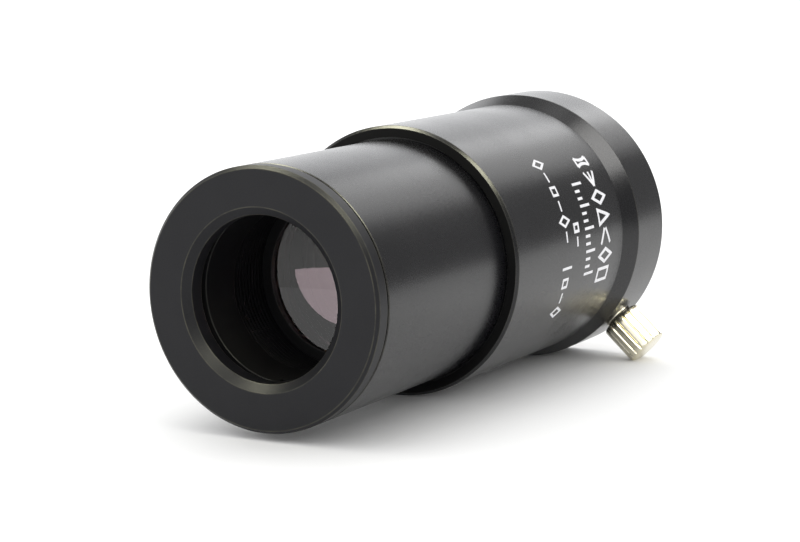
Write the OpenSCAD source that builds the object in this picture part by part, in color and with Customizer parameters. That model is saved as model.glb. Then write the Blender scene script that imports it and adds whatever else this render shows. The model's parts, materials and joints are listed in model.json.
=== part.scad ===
// Barlow lens for 1.25 inch eyepieces, lying on its side.
// The optical axis is Y, with the nose towards -Y and the eyepiece end towards +Y, and +Z is up.
// The origin is on the axis, in the plane of the shoulder where the nose enters the body.
// Threads are plain cylinders at their fitting diameters.

/* [Barrel] */
// Outside diameter of the nose, which is the eyepiece barrel size too
barrel_diameter = 31.7; // [26:0.1:52]
// Length of the nose, from its front face to the shoulder
nose_length = 32.7; // [27:0.1:60]
// Wall between the front thread and the outside of the nose
nose_wall = 1.6; // [1:0.05:2.5]
// Chamfer on the outer edges of the nose
nose_chamfer = 0.4; // [0.1:0.05:0.6]

/* [Body] */
// Length of the straight tube behind the shoulder
tube_length = 33.2; // [27:0.1:60]
// Length of the flare between the tube and the collar
flare_length = 3; // [1:0.1:6]
// Length of the collar at the eyepiece end
collar_length = 9; // [7.5:0.1:16]
// Wall of the straight tube around the eyepiece socket
tube_wall = 1.69; // [1.2:0.01:3]
// Wall of the collar around the eyepiece socket
collar_wall = 2.88; // [2.3:0.01:5]
// Chamfer on the outer edges of the body
body_chamfer = 0.35; // [0.1:0.05:0.6]

/* [Eyepiece socket] */
// Depth of the socket
socket_depth = 29; // [22:0.1:35]
// Play around the barrel of an eyepiece, on the radius
socket_play = 0.05; // [0.02:0.01:0.15]
// Chamfer round the mouth of the socket
socket_chamfer = 0.6; // [0.2:0.1:1]
// Width of the compression ring
ring_width = 5; // [3:0.1:5.5]
// Thickness of the compression ring
ring_thickness = 0.8; // [0.5:0.05:1]
// Width of the split in the compression ring
ring_split = 2.5; // [1:0.1:5]

/* [Thumbscrew] */
// Thread diameter of the thumbscrew
screw_diameter = 4; // [3:0.1:5]
// Angle of the thumbscrew below the horizontal
screw_angle = 42.7; // [20:0.1:70]
// Diameter of the knurled head
head_diameter = 5.9; // [5.2:0.1:9]
// Length of the knurled head
head_length = 6; // [3:0.1:12]
// Number of ridges round the head
head_ridges = 16; // [10:1:24]
// Gap between the head and the collar
head_gap = 0.37; // [0.2:0.01:1]
// Gap between the screw's tip and the compression ring
tip_gap = 0.15; // [0.05:0.01:0.3]

/* [Front ring] */
// Length of the flange of the front ring, with its seam
flange_length = 2.5; // [1.5:0.05:5]
// Width of the seam behind the flange
seam_width = 0.35; // [0.15:0.05:0.6]
// Diameter of the hole in the front face
hole_diameter = 20; // [12:0.1:24]
// Depth of the chamfer round the hole
hole_chamfer = 0.85; // [0.3:0.05:1.2]

/* [Lens cell] */
// Distance from the front face to the lock ring
lock_inset = 4.7; // [3.5:0.1:8]
// Length of the lock ring
lock_length = 5.3; // [2:0.1:8]
// Diameter of the lock ring's mouth
lock_mouth = 21.1; // [14:0.1:22]
// Length of the spacer tube, with its lip
spacer_length = 8.9; // [4:0.1:10.7]
// Clear diameter in front of the glass
lens_aperture = 19.3; // [12:0.1:23.2]
// Thickness of the front glass on the axis
front_glass_centre = 1.5; // [1:0.1:3]
// Thickness of the rear glass on the axis
rear_glass_centre = 2; // [1:0.1:3]
// Radius of the hollow front surface
front_curve = 25; // [22:0.5:60]
// Radius of the cemented surface
cement_curve = 40; // [30:0.5:120]
// Radius of the hollow rear surface
rear_curve = 37; // [30:0.5:60]
// Wall of the lens cell
cell_wall = 1.3; // [1.1:0.05:2]

/* [Hidden] */
$fn = 180;

thread_play = 0.05;                // between a thread and its hole, on the radius
seat_gap = 0.02;                   // between faces that meet and move apart
cut = 1;                           // how far a cutting shape runs past what it cuts

// Barrel
barrel_r = barrel_diameter / 2;
front_y = -nose_length;
thread_r = barrel_r - nose_wall;   // front thread of the nose
bore_r = thread_r - 0.35;          // bore of the nose behind the thread
root_depth = 0.3;                  // how deep the nose's end sits in the shoulder
root_r = barrel_r - 0.25;          // the relieved end of the nose
root_recess_r = barrel_r + 0.25;   // the recess that it sits in
nose_spigot_r = barrel_r - 0.95;   // rear thread of the nose
nose_spigot_end = 8;

// Body
socket_r = barrel_r + socket_play;
tube_r = socket_r + tube_wall;
collar_r = socket_r + collar_wall;
collar_y = tube_length + flare_length;
end_y = collar_y + collar_length;
socket_y = end_y - socket_depth;
spigot_hole_end = nose_spigot_end + 0.2;
stop_r = bore_r - 0.4;             // the step that an eyepiece stops on

// Compression ring
clamp_y = collar_y + collar_length / 2;
ring_in_r = socket_r + 0.05;
ring_out_r = ring_in_r + ring_thickness;
groove_r = ring_out_r + 0.25;
groove_width = ring_width + 0.2;

// Thumbscrew, by distance from the optical axis
tip_start = ring_out_r + tip_gap;
pad_thickness = 0.35;
pad_r = screw_diameter * 0.325;
stem_r = screw_diameter * 0.175;
stem_length = 1;
shank_start = tip_start + pad_thickness + seat_gap;
head_start = collar_r + head_gap;
head_r = head_diameter / 2;
ridge_height = 0.3;
rim_length = 0.9;                  // plain-edged rim at the outer end of the head
rim_extra = 0.12;

// Front ring and cell
hole_r = hole_diameter / 2;
flange_end = front_y + flange_length;
ring_spigot_r = thread_r - thread_play;
cell_front = front_y + lock_inset + 0.5;
neck_length = 2;
neck_hole_r = ring_spigot_r - 1.3;
neck_r = neck_hole_r - thread_play;
ring_end = cell_front + neck_length;
flange_web = 2.9;                  // thickness of the front face's wall
thread_end = ring_end + 0.55;
cell_r = bore_r - 0.5;
cell_bore_r = cell_r - cell_wall;
lock_throat_r = lock_mouth / 2 - 0.55;
fitted_r = cell_bore_r - thread_play;
glass_r = cell_bore_r - 0.1;
lock_y = front_y + lock_inset;
spacer_y = lock_y + lock_length;
spacer_lip = 0.8;
spacer_bore_r = fitted_r - 1.05;
front_glass_y = spacer_y + spacer_length + seat_gap;
front_glass_edge = front_glass_centre + sag(front_curve) + sag(cement_curve);
rear_glass_y = front_glass_y + front_glass_edge + seat_gap;
rear_glass_edge = rear_glass_centre + sag(rear_curve) - sag(cement_curve);
seat_y = rear_glass_y + rear_glass_edge + seat_gap;
seat_lip = 1.2;
seat_r = glass_r - 1.4;
notch_width = 1.4;
notch_depth = 1.2;

// How deep a glass surface of the given radius dips from the rim to the axis
function sag(radius) = radius - sqrt(radius * radius - glass_r * glass_r);

// Turns an outline of [radius, y] points round the optical axis
module turned(outline) {
    rotate([-90, 0, 0]) rotate_extrude() polygon(outline);
}

// Ring round the optical axis from y0 to y1
module tube(r_out, r_in, y0, y1) {
    turned([[r_in, y0], [r_out, y0], [r_out, y1], [r_in, y1]]);
}

// Places a shape that is drawn along +Z on the thumbscrew's axis
module on_screw_axis() {
    translate([0, clamp_y, 0]) rotate([0, 90 + screw_angle, 0]) children();
}

// Half section of a flat glass disc from y0 to y1
module glass_section(y0, y1) {
    translate([0, y0]) square([glass_r, y1 - y0]);
}

// Section of a glass surface's sphere, with its centre on the axis at y
module surface_circle(radius, y) {
    translate([0, y]) circle(r = radius, $fn = 360);
}

// Tube, flare and collar, turned from one bar, with the socket behind and the nose's thread in front
module body() {
    color("#26262a") difference() {
        turned([
            [root_recess_r, 0], [tube_r - body_chamfer, 0], [tube_r, body_chamfer],
            [tube_r, tube_length], [collar_r, collar_y],
            [collar_r, end_y - body_chamfer], [collar_r - body_chamfer, end_y],
            [socket_r + socket_chamfer, end_y], [socket_r, end_y - socket_chamfer],
            [socket_r, clamp_y + groove_width / 2], [groove_r, clamp_y + groove_width / 2],
            [groove_r, clamp_y - groove_width / 2], [socket_r, clamp_y - groove_width / 2],
            [socket_r, socket_y], [stop_r, socket_y],
            [stop_r, spigot_hole_end], [nose_spigot_r + thread_play, spigot_hole_end],
            [nose_spigot_r + thread_play, root_depth], [root_recess_r, root_depth]
        ]);
        on_screw_axis() translate([0, 0, socket_r])
            cylinder(r = screw_diameter / 2 + thread_play, h = collar_wall + cut);
    }
}

// The part that goes into a focuser, screwed into the body for good
module nose_barrel() {
    color("#2a2a2e") turned([
        [thread_r, flange_end + seat_gap], [barrel_r - 0.1, flange_end + seat_gap],
        [barrel_r, flange_end + seat_gap + 0.1],
        [barrel_r, 0], [root_r, 0], [root_r, root_depth],
        [nose_spigot_r, root_depth], [nose_spigot_r, nose_spigot_end],
        [bore_r, nose_spigot_end], [bore_r, thread_end], [thread_r, thread_end]
    ]);
}

// Split brass ring that the thumbscrew presses on the eyepiece's barrel
module compression_ring() {
    color("#c9a24a") difference() {
        tube(ring_out_r, ring_in_r, clamp_y - ring_width / 2, clamp_y + ring_width / 2);
        on_screw_axis() translate([-ring_split / 2, -ring_width, -groove_r])
            cube([ring_split, 2 * ring_width, groove_r]);
    }
}

// Flange, front hole and the thread that carries the cell
module front_ring() {
    color("#202024") turned([
        [hole_r, front_y + hole_chamfer], [hole_r + 1, front_y],
        [barrel_r - nose_chamfer, front_y], [barrel_r, front_y + nose_chamfer],
        [barrel_r, flange_end - seam_width], [barrel_r - seam_width, flange_end - seam_width],
        [barrel_r - seam_width, flange_end], [ring_spigot_r, flange_end],
        [ring_spigot_r, ring_end], [neck_hole_r, ring_end],
        [neck_hole_r, front_y + flange_web], [hole_r, front_y + flange_web]
    ]);
}

// Tube that holds the glass against its rear lip
module lens_cell() {
    color("#1b1b1e") turned([
        [cell_bore_r, cell_front], [neck_r, cell_front], [neck_r, ring_end],
        [cell_r, ring_end], [cell_r, seat_y + seat_lip], [seat_r, seat_y + seat_lip],
        [seat_r, seat_y], [cell_bore_r, seat_y]
    ]);
}

// Screwed into the cell from the front with a two-pin spanner
module lock_ring() {
    color("#303034") difference() {
        turned([
            [lock_mouth / 2, lock_y], [fitted_r, lock_y],
            [fitted_r, spacer_y], [lock_throat_r, spacer_y]
        ]);
        translate([-notch_width / 2, lock_y - cut, -barrel_r])
            cube([notch_width, cut + notch_depth, nose_length]);
    }
}

// Dark tube that presses the glass on its seat
module spacer_tube() {
    color("#141416") turned([
        [spacer_bore_r, spacer_y], [fitted_r, spacer_y],
        [fitted_r, spacer_y + spacer_length], [lens_aperture / 2, spacer_y + spacer_length],
        [lens_aperture / 2, spacer_y + spacer_length - spacer_lip],
        [spacer_bore_r, spacer_y + spacer_length - spacer_lip]
    ]);
}

// Biconcave crown
module lens_front() {
    color("#9fb4c8") rotate([-90, 0, 0]) rotate_extrude() difference() {
        glass_section(front_glass_y, front_glass_y + front_glass_edge);
        surface_circle(front_curve, front_glass_y + sag(front_curve) - front_curve);
        surface_circle(cement_curve, front_glass_y + front_glass_edge - sag(cement_curve) + cement_curve);
    }
}

// Flint meniscus, cemented into the hollow of the crown
module lens_rear() {
    color("#b4c4a8") rotate([-90, 0, 0]) rotate_extrude() difference() {
        intersection() {
            glass_section(front_glass_y, rear_glass_y + rear_glass_edge);
            surface_circle(cement_curve, rear_glass_y - sag(cement_curve) + cement_curve);
        }
        surface_circle(rear_curve, rear_glass_y + rear_glass_edge - sag(rear_curve) + rear_curve);
    }
}

// Soft pad that meets the compression ring, with a stem in the end of the screw
module screw_tip() {
    color("#d8c690") on_screw_axis() {
        translate([0, 0, tip_start]) cylinder(r = pad_r, h = pad_thickness);
        translate([0, 0, tip_start]) cylinder(r = stem_r, h = pad_thickness + stem_length);
    }
}

// Plated screw with a straight-knurled head
module thumbscrew() {
    color("#c8c2b0") on_screw_axis() difference() {
        union() {
            translate([0, 0, shank_start])
                cylinder(r = screw_diameter / 2, h = head_start - shank_start + cut);
            translate([0, 0, head_start]) cylinder(r = head_r - ridge_height, h = head_length);
            translate([0, 0, head_start]) linear_extrude(head_length - 0.1) for (i = [0 : head_ridges - 1])
                rotate(i * 360 / head_ridges) translate([head_r - ridge_height, 0])
                    circle(r = ridge_height, $fn = 24);
            translate([0, 0, head_start + head_length - rim_length])
                cylinder(r = head_r - ridge_height + rim_extra, h = rim_length - 0.1);
        }
        translate([0, 0, shank_start - cut])
            cylinder(r = stem_r + thread_play, h = cut + stem_length + 0.1);
    }
}

body();
nose_barrel();
compression_ring();
front_ring();
lens_cell();
lock_ring();
spacer_tube();
lens_front();
lens_rear();
screw_tip();
thumbscrew();
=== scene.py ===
import json
import math

import bmesh
import bpy
from mathutils import Matrix, Vector


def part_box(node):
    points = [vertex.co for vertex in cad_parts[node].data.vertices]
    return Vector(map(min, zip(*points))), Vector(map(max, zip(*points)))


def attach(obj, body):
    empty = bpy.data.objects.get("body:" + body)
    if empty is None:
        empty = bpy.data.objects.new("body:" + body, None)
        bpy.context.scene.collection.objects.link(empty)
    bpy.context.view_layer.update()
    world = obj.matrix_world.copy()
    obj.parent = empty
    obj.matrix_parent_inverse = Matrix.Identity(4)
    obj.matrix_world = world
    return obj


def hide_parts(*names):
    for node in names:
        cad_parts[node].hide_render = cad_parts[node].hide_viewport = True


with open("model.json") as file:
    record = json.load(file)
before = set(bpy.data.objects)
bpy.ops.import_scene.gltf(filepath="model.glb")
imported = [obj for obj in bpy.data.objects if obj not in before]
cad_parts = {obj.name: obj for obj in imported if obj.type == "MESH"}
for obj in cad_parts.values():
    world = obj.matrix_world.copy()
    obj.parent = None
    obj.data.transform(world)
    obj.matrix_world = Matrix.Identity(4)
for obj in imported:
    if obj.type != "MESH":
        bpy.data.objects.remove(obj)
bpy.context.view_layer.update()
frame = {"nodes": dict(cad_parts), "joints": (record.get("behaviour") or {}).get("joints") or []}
print("frame loaded:", len(frame["nodes"]), "nodes")

mm = 0.001
tiny = 1e-6


# A round node's radius and its two ends along the optical axis, in millimetres
def turnedSize(node):
    low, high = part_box(node)
    widest = max(-low.x, -low.z, high.x, high.z)
    return {
        "radius": round(widest / mm, 2),
        "front": round(low.y / mm, 2),
        "back": round(high.y / mm, 2),
    }


def findJoint(name):
    return next(joint for joint in frame["joints"] if joint["name"] == name)


# How the corners of every turned outline are rounded
rounding = {
    "arcSteps": 4,
    "support": 0.12,        # a point this far beside a fillet keeps the flat next to it flat
    "mostOfSide": 0.45,     # a fillet takes no more than this share of its shorter side
    "roomNeeded": 2.2,      # a shorter side, counted in fillets, gets no such point
}


# Corners are (radius, y, fillet) in millimetres, and the result is (radius, y, edge mask, groove).
# The edge mask is 1 on a rounded outer edge, where the finishes lighten the colour: wear, and on the
# black anodise also a painted highlight. groove is how far a thread cuts in (-) or out (+) there.
def roundedOutline(corners):
    support, steps = rounding["support"], rounding["arcSteps"]
    count = len(corners)
    area = sum(
        corners[i - 1][0] * corners[i][1] - corners[i][0] * corners[i - 1][1]
        for i in range(count)
    )
    outline = []
    for i, corner in enumerate(corners):
        if len(corner) == 4:  # already finished, such as a thread's point
            outline.append(corner)
            continue
        here = Vector(corner[:2])
        toBefore = Vector(corners[i - 1][:2]) - here
        toAfter = Vector(corners[(i + 1) % count][:2]) - here
        fillet = corner[2]
        if not fillet:
            outline.append((here.x, here.y, 0.0, 0.0))
            continue
        turning = toBefore.x * toAfter.y - toBefore.y * toAfter.x
        edgeMask = 1.0 if turning * area < 0 else 0.0
        half = toBefore.angle(toAfter) / 2
        shortest = min(toBefore.length, toAfter.length)
        reach = min(fillet / math.tan(half), shortest * rounding["mostOfSide"])
        fillet = reach * math.tan(half)
        middle = (toBefore.normalized() + toAfter.normalized()).normalized()
        centre = here + middle * (fillet / math.sin(half))
        start = here + toBefore.normalized() * reach
        end = here + toAfter.normalized() * reach
        roomNeeded = rounding["roomNeeded"] * (reach + support)
        if toBefore.length > roomNeeded:
            outside = start + toBefore.normalized() * support
            outline.append((outside.x, outside.y, 0.0, 0.0))
        for step in range(steps + 1):
            blend = start.lerp(end, step / steps) - centre
            point = centre + blend.normalized() * fillet
            outline.append((point.x, point.y, edgeMask, 0.0))
        if toAfter.length > roomNeeded:
            outside = end + toAfter.normalized() * support
            outline.append((outside.x, outside.y, 0.0, 0.0))
    return outline


# A threaded stretch from one y to another, which runs in and out at its ends
def threadPoints(radius, fromY, toY, pitch, depth, stepsPerTurn=8):
    count = max(2, round(abs(toY - fromY) / pitch * stepsPerTurn))
    points = []
    for step in range(count + 1):
        share = step / count
        fade = min(1.0, share * count / stepsPerTurn, (1 - share) * count / stepsPerTurn)
        points.append((radius, fromY + (toY - fromY) * share, 0.0, depth * fade))
    return points


threadFlat = 0.125  # the crest and the root of a thread are cut flat by an eighth


# How deep a 60 degree thread is at a phase counted in turns: 0 on the crest, 1 in the root
def threadShape(phase):
    wave = abs((phase % 1.0) * 2 - 1)
    return min(1.0, max(0.0, wave * (1 + 2 * threadFlat) - threadFlat))


def addObject(name, data):
    added = bpy.data.objects.new(name, data)
    bpy.context.scene.collection.objects.link(added)
    return added


# Turns an outline round Y. An arc, (start, sweep), makes an open ring with end faces.
# ridges(angle, i) adds to the radius at the outline's point i.
def turnPiece(name, outline, steps=256, pitch=1.0, arc=None, ridges=None):
    full = arc is None
    startAngle, sweep = (0.0, 2 * math.pi) if full else arc
    rows = steps if full else steps + 1
    vertices, edgeMask, faces = [], [], []
    poles = {}
    index = []
    for row in range(rows):
        angle = startAngle + sweep * row / steps
        rowIndex = []
        for i, (radius, y, edge, groove) in enumerate(outline):
            if radius < tiny:  # on the axis, where all rows share one point
                if i not in poles:
                    poles[i] = len(vertices)
                    vertices.append((0.0, y * mm, 0.0))
                    edgeMask.append(edge)
                rowIndex.append(poles[i])
                continue
            r = radius + groove * threadShape(y / pitch + angle / (2 * math.pi))
            if ridges:
                r += ridges(angle, i)
            rowIndex.append(len(vertices))
            vertices.append((r * math.cos(angle) * mm, y * mm, r * math.sin(angle) * mm))
            edgeMask.append(edge)
        index.append(rowIndex)
    count = len(outline)
    for row in range(rows if full else steps):
        here, after = index[row], index[(row + 1) % rows]
        for i in range(count):
            j = (i + 1) % count
            corners = []
            for vertex in (here[i], here[j], after[j], after[i]):
                if vertex not in corners:
                    corners.append(vertex)
            if len(corners) > 2:
                faces.append(corners)
    if not full:
        faces.append(index[0][::-1])
        faces.append(index[-1])
    mesh = bpy.data.meshes.new(name)
    mesh.from_pydata(vertices, [], faces)
    attribute = mesh.attributes.new("edge", "FLOAT", "POINT")
    attribute.data.foreach_set("value", edgeMask)
    faceOutwards(mesh)
    return addObject(name, mesh)


def faceOutwards(mesh):
    mesh.validate()
    work = bmesh.new()
    work.from_mesh(mesh)
    bmesh.ops.recalc_face_normals(work, faces=work.faces)
    work.to_mesh(mesh)
    work.free()


def smoothPiece(piece, sharpAngle=32, weighted=True):
    for polygon in piece.data.polygons:
        polygon.use_smooth = True
    piece.data.set_sharp_from_angle(angle=math.radians(sharpAngle))
    if weighted:
        normals = piece.modifiers.new("flatFaces", "WEIGHTED_NORMAL")
        normals.keep_sharp = True
        normals.weight = 80  # large faces count most, so flats stay flat up to their fillets


# Cuts one shape out of another for good, and removes the cutter
def cutAway(piece, cutter):
    modifier = piece.modifiers.new("cut", "BOOLEAN")
    modifier.operation = "DIFFERENCE"
    modifier.solver = "EXACT"
    modifier.object = cutter
    graph = bpy.context.evaluated_depsgraph_get()
    cutMesh = bpy.data.meshes.new_from_object(piece.evaluated_get(graph))
    piece.modifiers.clear()
    piece.data = cutMesh
    bpy.data.objects.remove(cutter)


# Moves a shape that was turned round Y onto the thumbscrew's axis
def ontoScrewAxis(piece):
    joint = findJoint("thumbscrew_turn")
    axis = Vector(joint["axis"]).normalized()
    turnTo = Vector((0, 1, 0)).rotation_difference(axis).to_matrix().to_4x4()
    piece.data.transform(Matrix.Translation(Vector(joint["pos_m"])) @ turnTo)


# Gives a piece its finishes, the body it moves with and the nodes it stands for
def finishPiece(piece, materials, body, slotName, *nodes):
    for material in materials:
        piece.data.materials.append(material)
    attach(piece, body)
    if nodes:
        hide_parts(*nodes)
    return piece


def newGroup(name, inputs, outputs):
    group = bpy.data.node_groups.new(name, "ShaderNodeTree")
    for label, kind, value in inputs:
        socket = group.interface.new_socket(label, in_out="INPUT", socket_type=kind)
        socket.default_value = value
    for label, kind in outputs:
        group.interface.new_socket(label, in_out="OUTPUT", socket_type=kind)
    return group, group.nodes.new("NodeGroupInput"), group.nodes.new("NodeGroupOutput")


def addNode(tree, kind, settings=None, values=None):
    node = tree.nodes.new(kind)
    for key, value in (settings or {}).items():
        setattr(node, key, value)
    for key, value in (values or {}).items():
        node.inputs[key].default_value = value
    return node


# Maps a source linearly, clamped
def mapRange(tree, source, fromLow, fromHigh, toLow=0.0, toHigh=1.0):
    node = addNode(tree, "ShaderNodeMapRange", {"clamp": True}, {
        "From Min": fromLow, "From Max": fromHigh, "To Min": toLow, "To Max": toHigh})
    tree.links.new(source, node.inputs["Value"])
    return node.outputs[0]


def mixColor(tree, factor, first, second):
    node = addNode(tree, "ShaderNodeMix", {"data_type": "RGBA"})
    tree.links.new(factor, node.inputs[0])
    tree.links.new(first, node.inputs[6])
    tree.links.new(second, node.inputs[7])
    return node.outputs[2]


def mixValue(tree, factor, first, second):
    node = addNode(tree, "ShaderNodeMix", {"data_type": "FLOAT"})
    tree.links.new(factor, node.inputs[0])
    tree.links.new(first, node.inputs[2])
    tree.links.new(second, node.inputs[3])
    return node.outputs[0]


# Fine pits of a blasted or cast surface, with a slow change of tone over the piece
def makeGrainGroup():
    tree, given, out = newGroup("surfaceGrain", [
        ("Color", "NodeSocketColor", (0.02, 0.02, 0.02, 1)),
        ("Second Color", "NodeSocketColor", (0.03, 0.03, 0.03, 1)),
        ("Low Roughness", "NodeSocketFloat", 0.3),
        ("High Roughness", "NodeSocketFloat", 0.4),
        ("Grain Size", "NodeSocketFloat", 7000.0),
        ("Patch Size", "NodeSocketFloat", 160.0),
    ], [("Color", "NodeSocketColor"), ("Roughness", "NodeSocketFloat"),
        ("Height", "NodeSocketFloat")])
    place = addNode(tree, "ShaderNodeTexCoord")
    grain = addNode(tree, "ShaderNodeTexNoise", values={"Detail": 2.0, "Roughness": 0.6})
    patch = addNode(tree, "ShaderNodeTexNoise", values={"Detail": 3.0, "Roughness": 0.55})
    tree.links.new(place.outputs["Object"], grain.inputs["Vector"])
    tree.links.new(place.outputs["Object"], patch.inputs["Vector"])
    tree.links.new(given.outputs["Grain Size"], grain.inputs["Scale"])
    tree.links.new(given.outputs["Patch Size"], patch.inputs["Scale"])
    both = addNode(tree, "ShaderNodeMath", {"operation": "ADD"})
    fromGrain = mapRange(tree, grain.outputs["Fac"], 0.3, 0.7, 0.0, 0.55)
    fromPatch = mapRange(tree, patch.outputs["Fac"], 0.3, 0.7, 0.0, 0.45)
    tree.links.new(fromGrain, both.inputs[0])
    tree.links.new(fromPatch, both.inputs[1])
    tree.links.new(mixColor(tree, both.outputs[0], given.outputs["Color"],
                            given.outputs["Second Color"]), out.inputs["Color"])
    tree.links.new(mixValue(tree, both.outputs[0], given.outputs["Low Roughness"],
                            given.outputs["High Roughness"]), out.inputs["Roughness"])
    tree.links.new(grain.outputs["Fac"], out.inputs["Height"])
    return tree


# A lighter colour along rounded edges, broken up so that no edge is even. On the brass and the plated
# screw it is wear. On the black anodise it is partly wear and partly a painted highlight standing in
# for the warm-lit chamfers.
def makeEdgeWearAndHighlightGroup():
    tree, given, out = newGroup("edgeWearAndHighlight", [
        ("Color", "NodeSocketColor", (0.02, 0.02, 0.02, 1)),
        ("Roughness", "NodeSocketFloat", 0.3),
        ("Edge Color", "NodeSocketColor", (0.3, 0.3, 0.3, 1)),
        ("Worn Roughness", "NodeSocketFloat", 0.3),
        ("Amount", "NodeSocketFloat", 0.5),
    ], [("Color", "NodeSocketColor"), ("Roughness", "NodeSocketFloat")])
    place = addNode(tree, "ShaderNodeTexCoord")
    edge = addNode(tree, "ShaderNodeAttribute", {"attribute_name": "edge"})
    broken = addNode(tree, "ShaderNodeTexNoise", values={
        "Scale": 420.0, "Detail": 4.0, "Roughness": 0.7})
    tree.links.new(place.outputs["Object"], broken.inputs["Vector"])
    onEdge = mapRange(tree, edge.outputs["Fac"], 0.35, 0.95)
    patchy = mapRange(tree, broken.outputs["Fac"], 0.35, 0.65, 0.25, 1.0)
    first = addNode(tree, "ShaderNodeMath", {"operation": "MULTIPLY"})
    second = addNode(tree, "ShaderNodeMath", {"operation": "MULTIPLY", "use_clamp": True})
    tree.links.new(onEdge, first.inputs[0])
    tree.links.new(patchy, first.inputs[1])
    tree.links.new(first.outputs[0], second.inputs[0])
    tree.links.new(given.outputs["Amount"], second.inputs[1])
    mask = second.outputs[0]
    tree.links.new(mixColor(tree, mask, given.outputs["Color"], given.outputs["Edge Color"]),
                   out.inputs["Color"])
    tree.links.new(mixValue(tree, mask, given.outputs["Roughness"],
                            given.outputs["Worn Roughness"]), out.inputs["Roughness"])
    return tree


# A few pale specks: cells of a Voronoi pattern, of which only a small share holds a speck
def makeDustGroup():
    tree, given, out = newGroup("dustSpecks", [
        ("Color", "NodeSocketColor", (0.02, 0.02, 0.02, 1)),
        ("Roughness", "NodeSocketFloat", 0.3),
        ("Dust Color", "NodeSocketColor", (0.6, 0.6, 0.6, 1)),
        ("Share", "NodeSocketFloat", 0.03),
        ("Speck Size", "NodeSocketFloat", 0.09),
        ("Spacing", "NodeSocketFloat", 600.0),
    ], [("Color", "NodeSocketColor"), ("Roughness", "NodeSocketFloat")])
    place = addNode(tree, "ShaderNodeTexCoord")
    cells = addNode(tree, "ShaderNodeTexVoronoi")
    tree.links.new(place.outputs["Object"], cells.inputs["Vector"])
    tree.links.new(given.outputs["Spacing"], cells.inputs["Scale"])
    inside = addNode(tree, "ShaderNodeMath", {"operation": "LESS_THAN"})
    tree.links.new(cells.outputs["Distance"], inside.inputs[0])
    tree.links.new(given.outputs["Speck Size"], inside.inputs[1])
    chance = addNode(tree, "ShaderNodeSeparateColor")
    tree.links.new(cells.outputs["Color"], chance.inputs[0])
    chosen = addNode(tree, "ShaderNodeMath", {"operation": "LESS_THAN"})
    tree.links.new(chance.outputs[0], chosen.inputs[0])
    tree.links.new(given.outputs["Share"], chosen.inputs[1])
    both = addNode(tree, "ShaderNodeMath", {"operation": "MULTIPLY"})
    tree.links.new(inside.outputs[0], both.inputs[0])
    tree.links.new(chosen.outputs[0], both.inputs[1])
    rough = addNode(tree, "ShaderNodeMath", {"operation": "MAXIMUM"})
    soft = addNode(tree, "ShaderNodeMath", {"operation": "MULTIPLY"}, {1: 0.9})
    tree.links.new(both.outputs[0], soft.inputs[0])
    tree.links.new(soft.outputs[0], rough.inputs[0])
    tree.links.new(given.outputs["Roughness"], rough.inputs[1])
    tree.links.new(mixColor(tree, both.outputs[0], given.outputs["Color"],
                            given.outputs["Dust Color"]), out.inputs["Color"])
    tree.links.new(rough.outputs[0], out.inputs["Roughness"])
    return tree


# Fine tool marks round the optical axis, as a lathe leaves them
def makeToolMarksGroup():
    tree, given, out = newGroup("toolMarks", [
        ("Marks per Metre", "NodeSocketFloat", 6000.0),
        ("Wander", "NodeSocketFloat", 0.6),
    ], [("Height", "NodeSocketFloat")])
    place = addNode(tree, "ShaderNodeTexCoord")
    apart = addNode(tree, "ShaderNodeSeparateXYZ")
    tree.links.new(place.outputs["Object"], apart.inputs[0])
    fromAxis = addNode(tree, "ShaderNodeVectorMath", {"operation": "LENGTH"})
    flat = addNode(tree, "ShaderNodeCombineXYZ")
    tree.links.new(apart.outputs["X"], flat.inputs["X"])
    tree.links.new(apart.outputs["Z"], flat.inputs["Y"])
    tree.links.new(flat.outputs[0], fromAxis.inputs[0])
    # both the distance along the axis and the radius, so that faces and walls are marked alike
    along = addNode(tree, "ShaderNodeMath", {"operation": "ADD"})
    tree.links.new(apart.outputs["Y"], along.inputs[0])
    tree.links.new(fromAxis.outputs["Value"], along.inputs[1])
    line = addNode(tree, "ShaderNodeTexNoise", {"noise_dimensions": "1D"},
                   {"Detail": 2.0, "Roughness": 0.7})
    tree.links.new(along.outputs[0], line.inputs["W"])
    tree.links.new(given.outputs["Marks per Metre"], line.inputs["Scale"])
    wander = addNode(tree, "ShaderNodeTexNoise", values={"Scale": 260.0, "Detail": 2.0})
    tree.links.new(place.outputs["Object"], wander.inputs["Vector"])
    uneven = addNode(tree, "ShaderNodeMath", {"operation": "MULTIPLY"})
    tree.links.new(wander.outputs["Fac"], uneven.inputs[0])
    tree.links.new(given.outputs["Wander"], uneven.inputs[1])
    sumUp = addNode(tree, "ShaderNodeMath", {"operation": "ADD"})
    tree.links.new(line.outputs["Fac"], sumUp.inputs[0])
    tree.links.new(uneven.outputs[0], sumUp.inputs[1])
    tree.links.new(sumUp.outputs[0], out.inputs["Height"])
    return tree


grainGroup = makeGrainGroup()
edgeWearAndHighlightGroup = makeEdgeWearAndHighlightGroup()
dustGroup = makeDustGroup()
toolMarksGroup = makeToolMarksGroup()


def newMaterial(name, constants):
    material = bpy.data.materials.new(name)
    material.use_nodes = True
    tree = material.node_tree
    tree.nodes.clear()
    shader = addNode(tree, "ShaderNodeBsdfPrincipled", values=constants)
    output = addNode(tree, "ShaderNodeOutputMaterial")
    tree.links.new(shader.outputs["BSDF"], output.inputs["Surface"])
    return material, tree, shader


def placeGroup(tree, group, values):
    return addNode(tree, "ShaderNodeGroup", {"node_tree": group}, values)
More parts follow.
